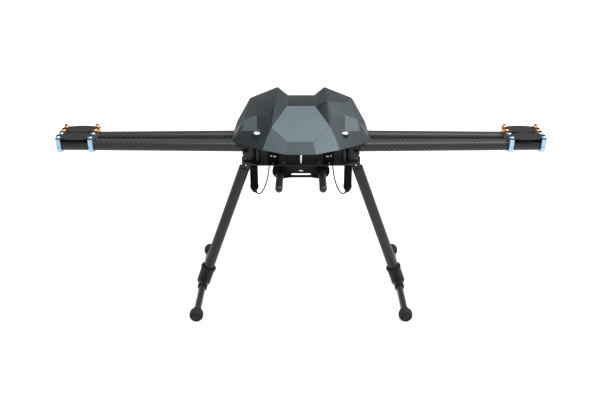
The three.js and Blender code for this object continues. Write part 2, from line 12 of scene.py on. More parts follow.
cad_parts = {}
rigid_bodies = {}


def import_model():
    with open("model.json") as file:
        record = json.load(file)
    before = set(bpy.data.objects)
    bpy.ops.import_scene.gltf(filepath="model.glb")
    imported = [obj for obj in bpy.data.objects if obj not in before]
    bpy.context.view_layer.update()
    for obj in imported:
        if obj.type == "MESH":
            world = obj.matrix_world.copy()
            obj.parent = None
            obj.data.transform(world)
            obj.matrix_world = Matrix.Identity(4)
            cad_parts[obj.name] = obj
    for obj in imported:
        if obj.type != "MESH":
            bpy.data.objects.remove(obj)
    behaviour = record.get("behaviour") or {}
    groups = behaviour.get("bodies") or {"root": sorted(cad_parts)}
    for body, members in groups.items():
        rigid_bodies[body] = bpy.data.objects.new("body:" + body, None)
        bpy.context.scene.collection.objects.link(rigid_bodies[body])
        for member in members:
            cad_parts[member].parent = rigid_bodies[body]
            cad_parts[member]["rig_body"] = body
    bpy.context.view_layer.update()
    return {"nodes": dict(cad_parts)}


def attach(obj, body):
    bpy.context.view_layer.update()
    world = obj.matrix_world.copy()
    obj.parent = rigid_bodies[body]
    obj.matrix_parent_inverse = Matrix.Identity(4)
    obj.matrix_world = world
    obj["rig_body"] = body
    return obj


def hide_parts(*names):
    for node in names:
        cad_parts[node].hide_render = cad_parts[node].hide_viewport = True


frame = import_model()

MM = 0.001
SIDES = (("left", -1), ("right", 1))
ENDS = (("front", -1), ("rear", 1))

# The CAD's own dimensions. ARM_Z is the arms' axis over the floor, and other heights count from it.
ARM_Z = 384.0
PIVOT_X = 110.0
PIVOT_Y = 29.6
TOE_DEG = 1.23
ARM_START = 17.0
ARM_END = 423.0
ARM_R = 12.5
WALL = 1.5
MOTOR_REACH = 383.0
CLAMP_OFFSET = 35.0
MOTOR_PLATE_TOP = 20.5
LEG_PIVOT = (122.897, -50.384)
LEG_TILT_DEG = 20.0
LEG_LENGTH = 338.0
LEG_TOP = 16.5
LEG_LOW = 316.0
BRACKET_HALF = 19.0
SKID_R = 8.0
SKID_WALL = 1.0
FOOT_Y = 140.0
FOOT_R = 16.0
FOOT_OVERLAP = 8.0
RAIL_X = 46.0
RAIL_Z = -50.0
RAIL_R = 8.0
RAIL_HALF = 150.0
BOTTOM_PLATE_TOP = -29.5
TOP_PLATE_LOW = 14.6
NUT_X = 94.0
NUT_Y = -50.0
SEAT_Z = 36.5
SEAT_R = 7.8
RIM_Z = 14.5

# ---------------------------------------------------------------- camera
camera = bpy.data.objects.new("camera", bpy.data.cameras.new("camera"))
bpy.context.scene.collection.objects.link(camera)
camera.location = (-0.0011, -1.4810, 0.9894)
camera.rotation_euler = (math.radians(63.0), 0.0, 0.0)
camera.data.sensor_width = 36.0
camera.data.lens = 42.89
camera.data.clip_end = 60.0
bpy.context.scene.camera = camera


# ---------------------------------------------------------------- materials
class Look:
    """A material being built: each method adds one node and gives its output."""

    def __init__(self, name, **values):
        self.material = bpy.data.materials.new(name)
        self.material.use_nodes = True
        self.tree = self.material.node_tree
        self.shader = self.tree.nodes["Principled BSDF"]
        for key, value in values.items():
            self.shader.inputs[key.replace("_", " ")].default_value = value

    def add(self, kind, inputs=(), **settings):
        """A node with its inputs, each a socket to link or a value to set."""
        node = self.tree.nodes.new(kind)
        for key, value in settings.items():
            setattr(node, key, value)
        for key, value in dict(inputs).items():
            if isinstance(value, bpy.types.NodeSocket):
                self.tree.links.new(value, node.inputs[key])
            else:
                node.inputs[key].default_value = value
        return node

    def math(self, operation, a, b=0.0, c=0.0):
        inputs = {0: a, 1: b, 2: c}
        return self.add("ShaderNodeMath", inputs, operation=operation).outputs[0]

    def place(self):
        """The point on the piece, in its own metres."""
        return self.add("ShaderNodeTexCoord").outputs["Object"]

    def split(self, vector):
        """A vector's three parts."""
        return self.add("ShaderNodeSeparateXYZ", {0: vector}).outputs

    def noise(self, scale, detail=2.0, stretch=(1.0, 1.0, 1.0)):
        """Soft noise fixed to the piece, with more waves to the metre at a larger scale."""
        mapped = self.add("ShaderNodeMapping", {"Vector": self.place(), "Scale": stretch})
        inputs = {"Vector": mapped.outputs[0], "Scale": scale, "Detail": detail}
        return self.add("ShaderNodeTexNoise", inputs).outputs[0]

    def ramp(self, value, low, high):
        """Maps 0..1 to low..high."""
        inputs = {"Value": value, "To Min": low, "To Max": high}
        return self.add("ShaderNodeMapRange", inputs).outputs[0]

    def mix(self, factor, a, b):
        """From colour a at factor 0 to colour b at 1."""
        node = self.add("ShaderNodeMix", data_type="RGBA", blend_type="MIX")
        for index, value in ((0, factor), (6, a), (7, b)):
            if isinstance(value, bpy.types.NodeSocket):
                self.tree.links.new(value, node.inputs[index])
            elif index == 0:
                node.inputs[index].default_value = value
            else:
                node.inputs[index].default_value = (*value, 1.0)
        return node.outputs[2]

    def bump(self, height, strength, distance):
        """A normal tilted by a height that spans the distance, in metres."""
        inputs = {"Height": height, "Strength": strength, "Distance": distance}
        return self.add("ShaderNodeBump", inputs).outputs[0]

    def use(self, **links):
        """Links outputs to the shader and gives the finished material."""
        for key, socket in links.items():
            self.tree.links.new(socket, self.shader.inputs[key.replace("_", " ")])
        return self.material


def twill(look, u, v, tow):
    """A two-by-two twill: 1 where the warp is on top, and the height across each tow."""
    across_u = look.math("DIVIDE", u, tow)
    across_v = look.math("DIVIDE", v, tow)
    step = look.math("SUBTRACT", look.math("FLOOR", across_u), look.math("FLOOR", across_v))
    warp = look.math("LESS_THAN", look.math("FLOORED_MODULO", step, 4.0), 1.5)
    crowns = []
    for across in (across_u, across_v):
        offset = look.math("SUBTRACT", look.math("FRACT", across), 0.5)
        fall = look.math("MULTIPLY", look.math("MULTIPLY", offset, offset), 4.0)
        crowns.append(look.math("SUBTRACT", 1.0, fall))
    on_warp = look.math("MULTIPLY", warp, crowns[0])
    on_weft = look.math("MULTIPLY", look.math("SUBTRACT", 1.0, warp), crowns[1])
    return warp, look.math("ADD", on_warp, on_weft)


def uv_axes(look):
    """The two directions of the weave's own coordinates."""
    return look.split(look.add("ShaderNodeUVMap", uv_map="weave").outputs[0])[:2]


def carbon_tube(name, tow, dark, light):
    """Roll-wrapped twill under clear resin, by the tube's own coordinates."""
    look = Look(name, Coat_Weight=0.14, Coat_Roughness=0.25, Specular_IOR_Level=0.2)
    warp, crown = twill(look, *uv_axes(look), tow)
    tone = look.mix(warp, dark, light)
    # Painted shade: each tow is darkened towards its edges, in the creases between the tows
    shaded = look.mix(look.ramp(crown, 0.55, 0.0), tone, (0.004, 0.004, 0.0045))
    cloud = look.noise(28.0, 3.0)
    colour = look.mix(look.ramp(cloud, 0.0, 0.35), shaded, (0.03, 0.032, 0.033))
    patches = look.math("MULTIPLY_ADD", warp, 0.5, look.math("MULTIPLY", cloud, 0.5))
    roughness = look.ramp(patches, 0.24, 0.46)
    return look.use(Base_Color=colour, Roughness=roughness, Normal=look.bump(crown, 0.25, 0.0002))


def carbon_plate(name, tow, dark, light):
    """Cut carbon sheet: twill on the faces, the plain stack of plies on the edges."""
    look = Look(name, Coat_Weight=0.0, Specular_IOR_Level=0.07)
    x, y, z = look.split(look.place())[:3]
    warp, crown = twill(look, look.math("ADD", x, y), look.math("SUBTRACT", x, y), tow * 1.414)
    tone = look.mix(warp, dark, light)
    facing = look.split(look.add("ShaderNodeNewGeometry").outputs["True Normal"])[2]
    flat = look.math("GREATER_THAN", look.math("ABSOLUTE", facing), 0.7)
    ply = look.math("GREATER_THAN", look.math("FRACT", look.math("DIVIDE", z, 0.0004)), 0.5)
    edge = look.mix(ply, (0.018, 0.018, 0.018), (0.05, 0.05, 0.048))
    colour = look.mix(flat, edge, tone)
    roughness = look.ramp(look.noise(90.0), 0.3, 0.5)
    return look.use(Base_Color=colour, Roughness=roughness, Normal=look.bump(crown, 0.2, 0.0002))


def canopy_skin(name, tow):
    """The canopy's woven skin: each facet has its own weave direction, a rib contrast that partly paints
    how the light catches the weave, and a painted shade level.
    """
    look = Look(name, Coat_Weight=0.05, Coat_Roughness=0.3, Specular_IOR_Level=0.24)
    look.shader.inputs["Specular Tint"].default_value = (0.78, 0.94, 1.0, 1.0)
    warp, crown = twill(look, *uv_axes(look), tow)
    # Per facet: rib contrast, partly painted light on the weave, and tone, a painted shade level that
    # makes facets facing the lights brighter
    ribs_and_painted_shade = look.split(look.add("ShaderNodeAttribute", attribute_name="ribs_and_painted_shade").outputs["Color"])
    ribs = look.math("MULTIPLY", look.math("SUBTRACT", warp, 0.5), ribs_and_painted_shade[0])
    cloud = look.math("MULTIPLY", look.math("SUBTRACT", look.noise(22.0, 4.0), 0.5), 0.14)
    grain = look.math("MULTIPLY", look.math("SUBTRACT", look.noise(900.0, 1.0), 0.5), 0.25)
    # The facet's painted shade level, with its ribs and the random cloud and grain
    painted_shade_and_weave = look.math("ADD", look.math("ADD", ribs_and_painted_shade[1], ribs), look.math("ADD", cloud, grain))
    colour = look.mix(painted_shade_and_weave, (0.002, 0.0022, 0.0024), (0.092, 0.119, 0.13))
    roughness = look.ramp(look.math("ADD", cloud, warp), 0.36, 0.5)
    return look.use(Base_Color=colour, Roughness=roughness, Normal=look.bump(crown, 0.15, 0.0002))


def machined(name, colour, low, high, worn, stretch=(1.0, 1.0, 1.0), metallic=1.0):
    """Turned or milled metal with fine tool marks and slightly cloudy anodising."""
    look = Look(name, Metallic=metallic)
    marks = look.noise(700.0, 2.0, stretch)
    cloud = look.noise(60.0, 3.0)
    tone = look.mix(look.ramp(cloud, -0.2, 0.7), colour, worn)
    patches = look.math("MULTIPLY_ADD", marks, 0.6, look.math("MULTIPLY", cloud, 0.4))
    roughness = look.ramp(patches, low, high)
    return look.use(Base_Color=tone, Roughness=roughness, Normal=look.bump(marks, 0.08, 0.0001))


def moulded(name, colour, pale, low, high, grain=1400.0, depth=0.12, shine=0.2):
    """Moulded plastic or rubber with a fine spark-eroded grain."""
    look = Look(name, Specular_IOR_Level=shine)
    texture = look.noise(grain, 2.0)
    cloud = look.noise(45.0, 3.0)
    tone = look.mix(look.ramp(cloud, 0.0, 0.8), colour, pale)
    patches = look.math("MULTIPLY_ADD", texture, 0.5, look.math("MULTIPLY", cloud, 0.5))
    roughness = look.ramp(patches, low, high)
    return look.use(Base_Color=tone, Roughness=roughness, Normal=look.bump(texture, depth, 0.0002))


def circuit_board(name):
    """A green solder-masked board with copper tracks showing through."""
    look = Look(name, Coat_Weight=0.4, Coat_Roughness=0.15)
    x, y, _ = look.split(look.place())[:3]
    tracks = [
        look.math("LESS_THAN", look.math("FRACT", look.math("DIVIDE", axis, pitch)), 0.3)
        for axis, pitch in ((x, 0.0042), (y, 0.0058))
    ]
    copper = look.math("MAXIMUM", *tracks)
    colour = look.mix(copper, (0.008, 0.03, 0.018), (0.02, 0.07, 0.035))
    roughness = look.ramp(look.noise(200.0), 0.3, 0.5)
    return look.use(Base_Color=colour, Roughness=roughness, Normal=look.bump(copper, 0.2, 0.0001))


# Carbon: tow width in metres, dark tow, light tow. Moulded: colour, paler colour, roughness range.
# Machined: colour, roughness range, worn colour, stretch of the tool marks.
ALONG_Z = (1.0, 1.0, 0.15)
ARM_CARBON = carbon_tube("arm_carbon", 0.0027, (0.004, 0.0048, 0.0045), (0.024, 0.029, 0.027))
FINE_CARBON = carbon_tube("fine_carbon", 0.002, (0.0035, 0.004, 0.0038), (0.011, 0.0128, 0.0122))
PLATE_CARBON = carbon_plate("plate_carbon", 0.0022, (0.005, 0.006, 0.0055), (0.013, 0.015, 0.0135))
CANOPY_SKIN = canopy_skin("canopy_skin", 0.0014)
CANOPY_EDGE = moulded("canopy_edge", (0.004, 0.0045, 0.005), (0.012, 0.013, 0.014), 0.5, 0.7)
CANOPY_WELL = moulded("canopy_well", (0.02, 0.024, 0.026), (0.035, 0.041, 0.044), 0.5, 0.7)
BLACK_METAL = machined(
    "black_metal", (0.007, 0.007, 0.0075), 0.35, 0.55, (0.02, 0.021, 0.022), metallic=0.5
)
BLACK_PLASTIC = moulded(
    "black_plastic", (0.002, 0.002, 0.0021), (0.006, 0.0063, 0.0063), 0.45, 0.65, shine=0.05
)
TEE_PLASTIC = moulded(
    "tee_plastic", (0.005, 0.006, 0.0055), (0.012, 0.014, 0.0135), 0.4, 0.6, shine=0.15
)
RUBBER = moulded(
    "rubber", (0.008, 0.0095, 0.0095), (0.017, 0.019, 0.019), 0.62, 0.85, grain=900.0, depth=0.3
)
CABLE = moulded(
    "cable_sleeve", (0.006, 0.0068, 0.0068), (0.014, 0.0155, 0.0155), 0.6, 0.8, shine=0.05
)
BLUE = machined("blue_anodised", (0.29, 0.45, 0.61), 0.25, 0.42, (0.44, 0.59, 0.71), ALONG_Z)
ORANGE = machined("orange_anodised", (0.66, 0.25, 0.08), 0.25, 0.42, (0.80, 0.39, 0.18), ALONG_Z)
SILVER = machined("silver_metal", (0.70, 0.71, 0.72), 0.2, 0.4, (0.85, 0.85, 0.85))
NUT_METAL = machined("nut_metal", (0.92, 0.92, 0.92), 0.45, 0.65, (0.97, 0.97, 0.97))
BOARD = circuit_board("circuit_board")


# ---------------------------------------------------------------- meshes
BEVEL_STEPS = 2


def finish_piece(name, bm, materials, body, replaces=(), bevel=0.0, crease_deg=35.0):
    """Makes a piece from a bmesh in millimetres: soft edges, smooth shading, its materials and its body.
    """
    bmesh.ops.recalc_face_normals(bm, faces=bm.faces)
    mesh = bpy.data.meshes.new(name)
    bm.to_mesh(mesh)
    bm.free()
    mesh.transform(Matrix.Scale(MM, 4))
    return finish_mesh(name, mesh, materials, body, replaces, bevel, crease_deg)


def finish_mesh(name, mesh, materials, body, replaces=(), bevel=0.0, crease_deg=35.0):
    """As finish_piece, from a mesh in metres. Each face keeps its material, which clearing would reset."""
    piece = bpy.data.objects.new(name, mesh)
    bpy.context.scene.collection.objects.link(piece)
    face_materials = [face.material_index for face in mesh.polygons]
    mesh.materials.clear()
    for material in materials if isinstance(materials, (list, tuple)) else [materials]:
        mesh.materials.append(material)
    mesh.polygons.foreach_set("material_index", face_materials)
    mesh.shade_smooth()
    mesh.set_sharp_from_angle(angle=math.radians(crease_deg))
    if bevel:
        rounding = piece.modifiers.new("rounding", "BEVEL")
        rounding.width = bevel * MM
        rounding.segments = BEVEL_STEPS
        rounding.limit_method = "ANGLE"
        rounding.angle_limit = math.radians(crease_deg)
        rounding.harden_normals = True
        rounding.miter_outer = "MITER_ARC"
    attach(piece, body)
    if replaces:
        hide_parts(*replaces)
    return piece


def merge(target, source, matrix=None):
    """Adds one bmesh to another, placed by a matrix."""
    mesh = bpy.data.meshes.new("merging")
    source.to_mesh(mesh)
    source.free()
    if matrix is not None:
        mesh.transform(matrix)
    target.from_mesh(mesh)
    bpy.data.meshes.remove(mesh)
    return target


def collect(parts):
    """One bmesh from (bmesh, matrix) pairs."""
    whole = bmesh.new()
    for source, matrix in parts:
        merge(whole, source, matrix)
    return whole


def turned(profile, segments=40, closed=False):
    """A body of revolution about Z from (radius, height) pairs, with coordinates for its weave."""
    bm = bmesh.new()
    weave = bm.loops.layers.uv.new("weave")
    rings = []
    for radius, height in profile:
        if radius == 0.0:
            rings.append([bm.verts.new((0.0, 0.0, height))])
            continue
        ring = []
        for i in range(segments):
            angle = 2 * math.pi * i / segments
            ring.append(bm.verts.new((radius * math.cos(angle), radius * math.sin(angle), height)))
        rings.append(ring)
    pairs = list(zip(rings, rings[1:])) + ([(rings[-1], rings[0])] if closed else [])
    around = max(radius for radius, _ in profile)
    for low, high in pairs:
        for i in range(segments):
            j = (i + 1) % segments
            corners = [(low, i, i), (low, j, i + 1), (high, j, i + 1), (high, i, i)]
            if len(low) == 1:
                corners = [(low, 0, i), (high, j, i + 1), (high, i, i)]
            elif len(high) == 1:
                corners = [(low, i, i), (low, j, i + 1), (high, 0, i)]
            face = bm.faces.new([ring[k] for ring, k, _ in corners])
            for loop, (_, _, turn) in zip(face.loops, corners):
                arc = 2 * math.pi * around * turn / segments
                radial = math.hypot(loop.vert.co.x, loop.vert.co.y)
                along = loop.vert.co.z + radial - around
                loop[weave].uv = (arc * MM, along * MM)
    return bm


TUBE_CHAMFER = 0.5


def tube_profile(outer, inner, low, high):
    """A tube's closed outline, with the outer edges eased."""
    return [
        (inner, low),
        (outer - TUBE_CHAMFER, low),
        (outer, low + TUBE_CHAMFER),
        (outer, high - TUBE_CHAMFER),
        (outer - TUBE_CHAMFER, high),
        (inner, high),
    ]


HEAD_CHAMFER = 0.4


def socket_screw(head_r, head_h):
    """A socket-head screw's head standing on z = 0, with its recess."""
    key_r = head_r * 0.52
    key_low = head_h * 0.4
    return turned(
        [
            (0.0, key_low),
            (key_r, key_low),
            (key_r, head_h),
            (head_r - HEAD_CHAMFER, head_h),
            (head_r, head_h - HEAD_CHAMFER),
            (head_r, 0.0),
            (0.0, 0.0),
        ],
        12,
    )


HEAD_PROFILE = ((0.0, 4.4), (1.4, 4.4), (1.4, 6.2), (2.4, 6.2), (2.8, 5.8), (2.8, 2.6), (0.0, 2.6))
CUP_PROFILE = ((0.0, 0.05), (5.2, 0.05), (5.2, 1.3), (4.9, 1.8), (3.4, 3.5), (2.9, 3.5), (0.0, 2.8))


def cup_screw():
    """A socket-head screw sunk in a cup washer, which takes the piece's second material."""
    cup = turned(CUP_PROFILE, 24)
    for face in cup.faces:
        face.material_index = 1
    return merge(turned(HEAD_PROFILE, 16), cup)


def at(x, y, z, tilt=None):
    """A move to a point, after a turn if one is given."""
    place = Matrix.Translation((x, y, z))
    return place @ tilt if tilt is not None else place


TURN_TO_Y = Matrix.Rotation(math.radians(-90.0), 4, "X")
TURN_TO_MINUS_Y = Matrix.Rotation(math.radians(90.0), 4, "X")
TURN_TO_X = Matrix.Rotation(math.radians(90.0), 4, "Y")


def turn_out(sy):
    """From Z to straight out of the frame at its front or rear."""
    return TURN_TO_Y if sy > 0 else TURN_TO_MINUS_Y


def arm_frame(sx, sy):
    """From an arm's own frame, X outwards from its pivot, to the row frame in millimetres."""
    toe = math.radians(TOE_DEG)
    turn = -sy * toe if sx > 0 else math.pi + sy * toe
    return at(sx * PIVOT_X, sy * PIVOT_Y, ARM_Z) @ Matrix.Rotation(turn, 4, "Z")


def leg_frame(sx):
    """From a leg's own frame, -Z down the leg from its pivot, to the row frame in millimetres."""
    turn = Matrix.Rotation(math.radians(-sx * LEG_TILT_DEG), 4, "Y")
    return at(sx * LEG_PIVOT[0], 0.0, ARM_Z + LEG_PIVOT[1]) @ turn


HUB_FRAME = at(0.0, 0.0, ARM_Z)


# ---------------------------------------------------------------- cables, before anything else is made
# The route is from the gear motor's lower end, by a low bend, up into the bottom plate's gland
CABLE_RADIUS = 0.0015
ROUTE_STEPS = 3
CABLE_ROUTE = (
    (101.6, -128.84),
    (98.8, -130.9),
    (95.0, -130.6),
    (91.0, -127.8),
    (85.8, -119.4),
    (80.8, -107.0),
    (76.6, -92.0),
    (73.6, -75.0),
    (71.6, -59.0),
    (70.2, -46.0),
    (70.0, -36.3),
)


def smooth_route(points):
    """Points along a centripetal Catmull-Rom curve through the route."""
    padded = [points[0] * 2 - points[1], *points, points[-1] * 2 - points[-2]]
    made = [points[0]]
    for p0, p1, p2, p3 in zip(padded, padded[1:], padded[2:], padded[3:]):
        t1 = (p1 - p0).length ** 0.5
        t2 = t1 + (p2 - p1).length ** 0.5
        t3 = t2 + (p3 - p2).length ** 0.5
        for i in range(1, ROUTE_STEPS + 1):
            t = t1 + (t2 - t1) * i / ROUTE_STEPS
            a1 = p0 * ((t1 - t) / t1) + p1 * (t / t1)
            a2 = p1 * ((t2 - t) / (t2 - t1)) + p2 * ((t - t1) / (t2 - t1))
            a3 = p2 * ((t3 - t) / (t3 - t2)) + p3 * ((t - t2) / (t3 - t2))
            b1 = a1 * ((t2 - t) / t2) + a2 * (t / t2)
            b2 = a2 * ((t3 - t) / (t3 - t1)) + a3 * ((t - t1) / (t3 - t1))
            made.append(b1 * ((t2 - t) / (t2 - t1)) + b2 * ((t - t1) / (t2 - t1)))
    return made


def retract_cable(side, sx):
    """A gear motor's cable as one smooth curve."""
    route = [Vector((sx * x, 0.0, ARM_Z + z)) * MM for x, z in CABLE_ROUTE]
    curve = bpy.data.curves.new(f"cable_{side}", "CURVE")
    curve.dimensions = "3D"
    curve.bevel_depth = CABLE_RADIUS
    curve.bevel_resolution = 4
    curve.resolution_u = 6
    curve.use_fill_caps = True
    line = curve.splines.new("BEZIER")
    points = smooth_route(route)
    line.bezier_points.add(len(points) - 1)
    for knot, point in zip(line.bezier_points, points):
        knot.co = point
        knot.handle_left_type = knot.handle_right_type = "AUTO"
    curve.materials.append(CABLE)
    cable = bpy.data.objects.new(f"cable_{side}", curve)
    bpy.context.scene.collection.objects.link(cable)
    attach(cable, "hub")
    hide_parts(f"retract_cable_{side}")


for side, sx in SIDES:
    retract_cable(side, sx)


# ---------------------------------------------------------------- CAD shapes, finished
SAME_POINT = 3e-6
FLAT_DEG = 0.6


def finished(node, material, bevel):
    """A CAD node's own shape with its faces joined, its edges eased and its real finish."""
    source = frame["nodes"][node]
    bm = bmesh.new()
    bm.from_mesh(source.data)
    bmesh.ops.remove_doubles(bm, verts=bm.verts, dist=SAME_POINT)
    bmesh.ops.dissolve_limit(bm, angle_limit=math.radians(FLAT_DEG), verts=bm.verts, edges=bm.edges)
    mesh = bpy.data.meshes.new(node + "_finished")
    bm.to_mesh(mesh)
    bm.free()
    # The CAD's own normals would hide the new edges
    normals = mesh.attributes.get("custom_normal")
    if normals:
        mesh.attributes.remove(normals)
    return finish_mesh(node + "_finished", mesh, material, source["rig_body"], (node,), bevel)


finished("bottom_plate", PLATE_CARBON, 0.2)
finished("top_plate", PLATE_CARBON, 0.2)
finished("battery_tray", PLATE_CARBON, 0.2)
finished("power_board", BOARD, 0.3)
finished("front_standoff", SILVER, 0.3)
for side, sx in SIDES:
    finished(f"canopy_post_{side}", BLACK_METAL, 0.3)
    finished(f"retract_bracket_{side}", BLACK_METAL, 0.8)
    finished(f"retract_motor_{side}", BLACK_PLASTIC, 0.4)
    finished(f"leg_socket_{side}", BLACK_METAL, 0.5)
    finished(f"leg_tee_{side}", TEE_PLASTIC, 0.5)
    finished(f"thumb_nut_{side}", NUT_METAL, 0.25)
for end, sy in ENDS:
    finished(f"rail_hanger_{end}", BLACK_PLASTIC, 0.8)
    for side, sx in SIDES:
        label = f"{end}_{side}"
        colour, slot = (BLUE, "blue_anodised") if end == "front" else (ORANGE, "orange_anodised")
        finished(f"arm_root_{label}", BLACK_METAL, 0.6)
        finished(f"arm_pivot_{label}", BLACK_METAL, 0.5)
        finished(f"arm_lock_knob_{label}", BLACK_METAL, 0.2)
        finished(f"motor_plate_{label}", PLATE_CARBON, 0.2)
        for clamp in ("inner", "outer"):
            finished(f"motor_clamp_{clamp}_{label}", colour, 0.5)


# ---------------------------------------------------------------- tubes, rails and skids
def woven_tube(name, profile, place, material, body, replaces, closed=True):
    """A turned tube or rod with its weave, in place of one CAD node."""
    bm = collect([(turned(profile, 48, closed=closed), place)])
    return finish_piece(name, bm, material, body, (replaces,), crease_deg=30.0)


for side, sx in SIDES:
    for end, sy in ENDS:
        label = f"{end}_{side}"
        woven_tube(
            f"arm_tube_{label}_woven",
            tube_profile(ARM_R, ARM_R - WALL, ARM_START, ARM_END),
            arm_frame(sx, sy) @ TURN_TO_X,
            ARM_CARBON,
            f"arm_{label}",
            f"arm_tube_{label}",
        )
    woven_tube(
        f"leg_tube_{side}_woven",
        tube_profile(ARM_R, ARM_R - WALL, -LEG_LOW, -LEG_TOP),
        leg_frame(sx),
        FINE_CARBON,
        f"leg_{side}",
        f"leg_tube_{side}",
    )
    woven_tube(
        f"skid_tube_{side}_woven",
        tube_profile(SKID_R, SKID_R - SKID_WALL, FOOT_OVERLAP - FOOT_Y, FOOT_Y - FOOT_OVERLAP),
        leg_frame(sx) @ at(0, 0, -LEG_LENGTH, TURN_TO_Y),
        FINE_CARBON,
        f"leg_{side}",
        f"skid_tube_{side}",
    )
    tip = [(0.0, RAIL_HALF)]
    for degrees in range(10, 91, 10):
        angle = math.radians(degrees)
        tip.append((RAIL_R * math.sin(angle), RAIL_HALF - RAIL_R + RAIL_R * math.cos(angle)))
    woven_tube(
        f"payload_rail_{side}_woven",
        [*tip, *[(r, -z) for r, z in reversed(tip)]],
        at(sx * RAIL_X, 0, ARM_Z + RAIL_Z, TURN_TO_Y),
        FINE_CARBON,
        "hub",
        f"payload_rail_{side}",
        closed=False,
    )


# ---------------------------------------------------------------- feet
def skid_foot(end, sy, side, sx):
    """A moulded ball foot: a domed face inside a raised rim, narrowing to a collar on the tube."""
    profile = [
        (0.0, 14.2),
        (6.0, 14.0),
        (9.4, 13.2),
        (10.0, 12.4),
        (10.8, 12.6),
        (11.4, 13.8),
        (13.2, 12.6),
        (15.2, 9.4),
        (FOOT_R, 5.0),
        (15.8, 0.0),
        (14.6, -4.6),
        (12.4, -8.6),
        (10.6, -10.6),
        (10.2, -14.4),
        (9.6, -15.0),
        (SKID_R + 0.2, -15.0),
        (SKID_R + 0.2, -8.2),
        (0.0, -8.2),
    ]
    place = leg_frame(sx) @ at(0, sy * FOOT_Y, -LEG_LENGTH, turn_out(sy))
    bm = collect([(turned(profile, 40), place)])
    name = f"foot_{end}_{side}"
    finish_piece(name, bm, RUBBER, f"leg_{side}", (f"skid_foot_{end}_{side}",), crease_deg=50.0)


for side, sx in SIDES:
    for end, sy in ENDS:
        skid_foot(end, sy, side, sx)


# ---------------------------------------------------------------- canopy
CORNERS = {
    "rimFront": (31, -111, RIM_Z),
    "rimFrontCorner": (82, -86, RIM_Z),
    "rimSideFront": (149, -28, RIM_Z),
    "rimSideRear": (151, 28, RIM_Z),
    "rimRearCorner": (86, 88, RIM_Z),
    "rimRear": (31, 111, RIM_Z),
    "chin": (25, -90, 34),
    "cheek": (62.5, -55, 54.5),
    "jaw": (73, -70, 35.5),
    "brow": (31, -6, 83.5),
    "browPeak": (56, -6, 94),
    "lobe": (68.5, -32, 68),
    "seatLow": (94, -46, 40.5),
    "seatOut": (127, -26, 33.5),
    "seatHigh": (95, -8, 63),
    "sideHigh": (124.5, 1, 50.5),
    "roofFront": (99, 24, 81),
    "roofSide": (119, 30, 70),
    "peak": (51.5, 50, 109.3),
    "notch": (29, 50, 90),
    "roofRear": (114, 50, 84),
    "flankHigh": (133, 36, 53),
    "flankLow": (143, 26, 37.5),
    "tail": (27, 94, 44),
    "tailSide": (64, 82, 60),
    "tailCorner": (106, 63, 50),
}

# Right-hand facets: corners, the pair that the weave's ribs run along, rib contrast (partly painted
# light), tone (a painted shade level)
FACETS = (
    (("rimFront", "rimFrontCorner", "jaw", "cheek", "chin"), ("chin", "cheek"), 0.8, 0.54),
    (
        ("rimFrontCorner", "rimSideFront", "seatOut", "seatLow"),
        ("rimFrontCorner", "rimSideFront"),
        0.14,
        0.08,
    ),
    (("rimFrontCorner", "seatLow", "jaw"), ("rimFrontCorner", "seatLow"), 0.16, 0.1),
    (("cheek", "jaw", "seatLow", "seatHigh", "lobe"), ("jaw", "seatLow"), 0.14, 0.08),
    (("brow", "cheek", "browPeak"), ("cheek", "brow"), 0.02, 0.0),
    (("cheek", "lobe", "browPeak"), ("cheek", "browPeak"), 0.03, 0.06),
    (("browPeak", "lobe", "seatHigh", "roofFront"), ("browPeak", "roofFront"), 0.08, 0.17),
    (("seatLow", "seatOut", "sideHigh", "seatHigh"), ("seatLow", "sideHigh"), 0.5, 0.5),
    (("seatHigh", "sideHigh", "roofSide", "roofFront"), ("seatHigh", "roofSide"), 0.1, 0.2),
    (("seatOut", "rimSideFront", "sideHigh"), ("seatOut", "sideHigh"), 0.1, 0.16),
    (("sideHigh", "rimSideFront", "rimSideRear"), ("rimSideFront", "rimSideRear"), 0.1, 0.2),
    (("sideHigh", "rimSideRear", "flankLow"), ("sideHigh", "flankLow"), 0.1, 0.2),
    (("sideHigh", "flankLow", "flankHigh"), ("sideHigh", "flankHigh"), 0.1, 0.2),
    (("sideHigh", "flankHigh", "roofSide"), ("sideHigh", "roofSide"), 0.1, 0.2),
    (("roofFront", "roofSide", "roofRear"), ("roofFront", "roofRear"), 0.1, 0.22),
    (("roofSide", "flankHigh", "roofRear"), ("roofSide", "roofRear"), 0.1, 0.2),
    (("browPeak", "roofFront", "roofRear", "peak"), ("browPeak", "peak"), 0.08, 0.15),
    (("brow", "browPeak", "peak", "notch"), ("brow", "peak"), 0.08, 0.14),
    (("notch", "peak", "tailSide", "tail"), ("notch", "tail"), 0.1, 0.2),
    (("peak", "roofRear", "tailCorner", "tailSide"), ("peak", "tailCorner"), 0.1, 0.2),
    (("roofRear", "flankHigh", "tailCorner"), ("roofRear", "tailCorner"), 0.1, 0.2),
    (("flankHigh", "flankLow", "tailCorner"), ("flankLow", "tailCorner"), 0.1, 0.2),
    (("flankLow", "rimSideRear", "tailCorner"), ("flankLow", "tailCorner"), 0.1, 0.2),
    (("rimSideRear", "rimRearCorner", "tailCorner"), ("rimSideRear", "rimRearCorner"), 0.1, 0.2),
    (("tailSide", "tailCorner", "rimRearCorner"), ("tailSide", "rimRearCorner"), 0.1, 0.2),
    (("tail", "tailSide", "rimRearCorner", "rimRear"), ("tail", "rimRear"), 0.2, 0.3),
)

# Facets across the middle: right-hand corners from front to rear, rib contrast (partly painted light),
# tone (a painted shade level)
MIDDLE = (
    (("rimFront", "chin"), 0.28, 0.18),
    (("chin", "cheek", "brow"), 0.06, 0.76),
    (("brow", "notch"), 0.05, 0.07),
    (("notch", "tail"), 0.1, 0.2),
    (("tail", "rimRear"), 0.2, 0.3),
)


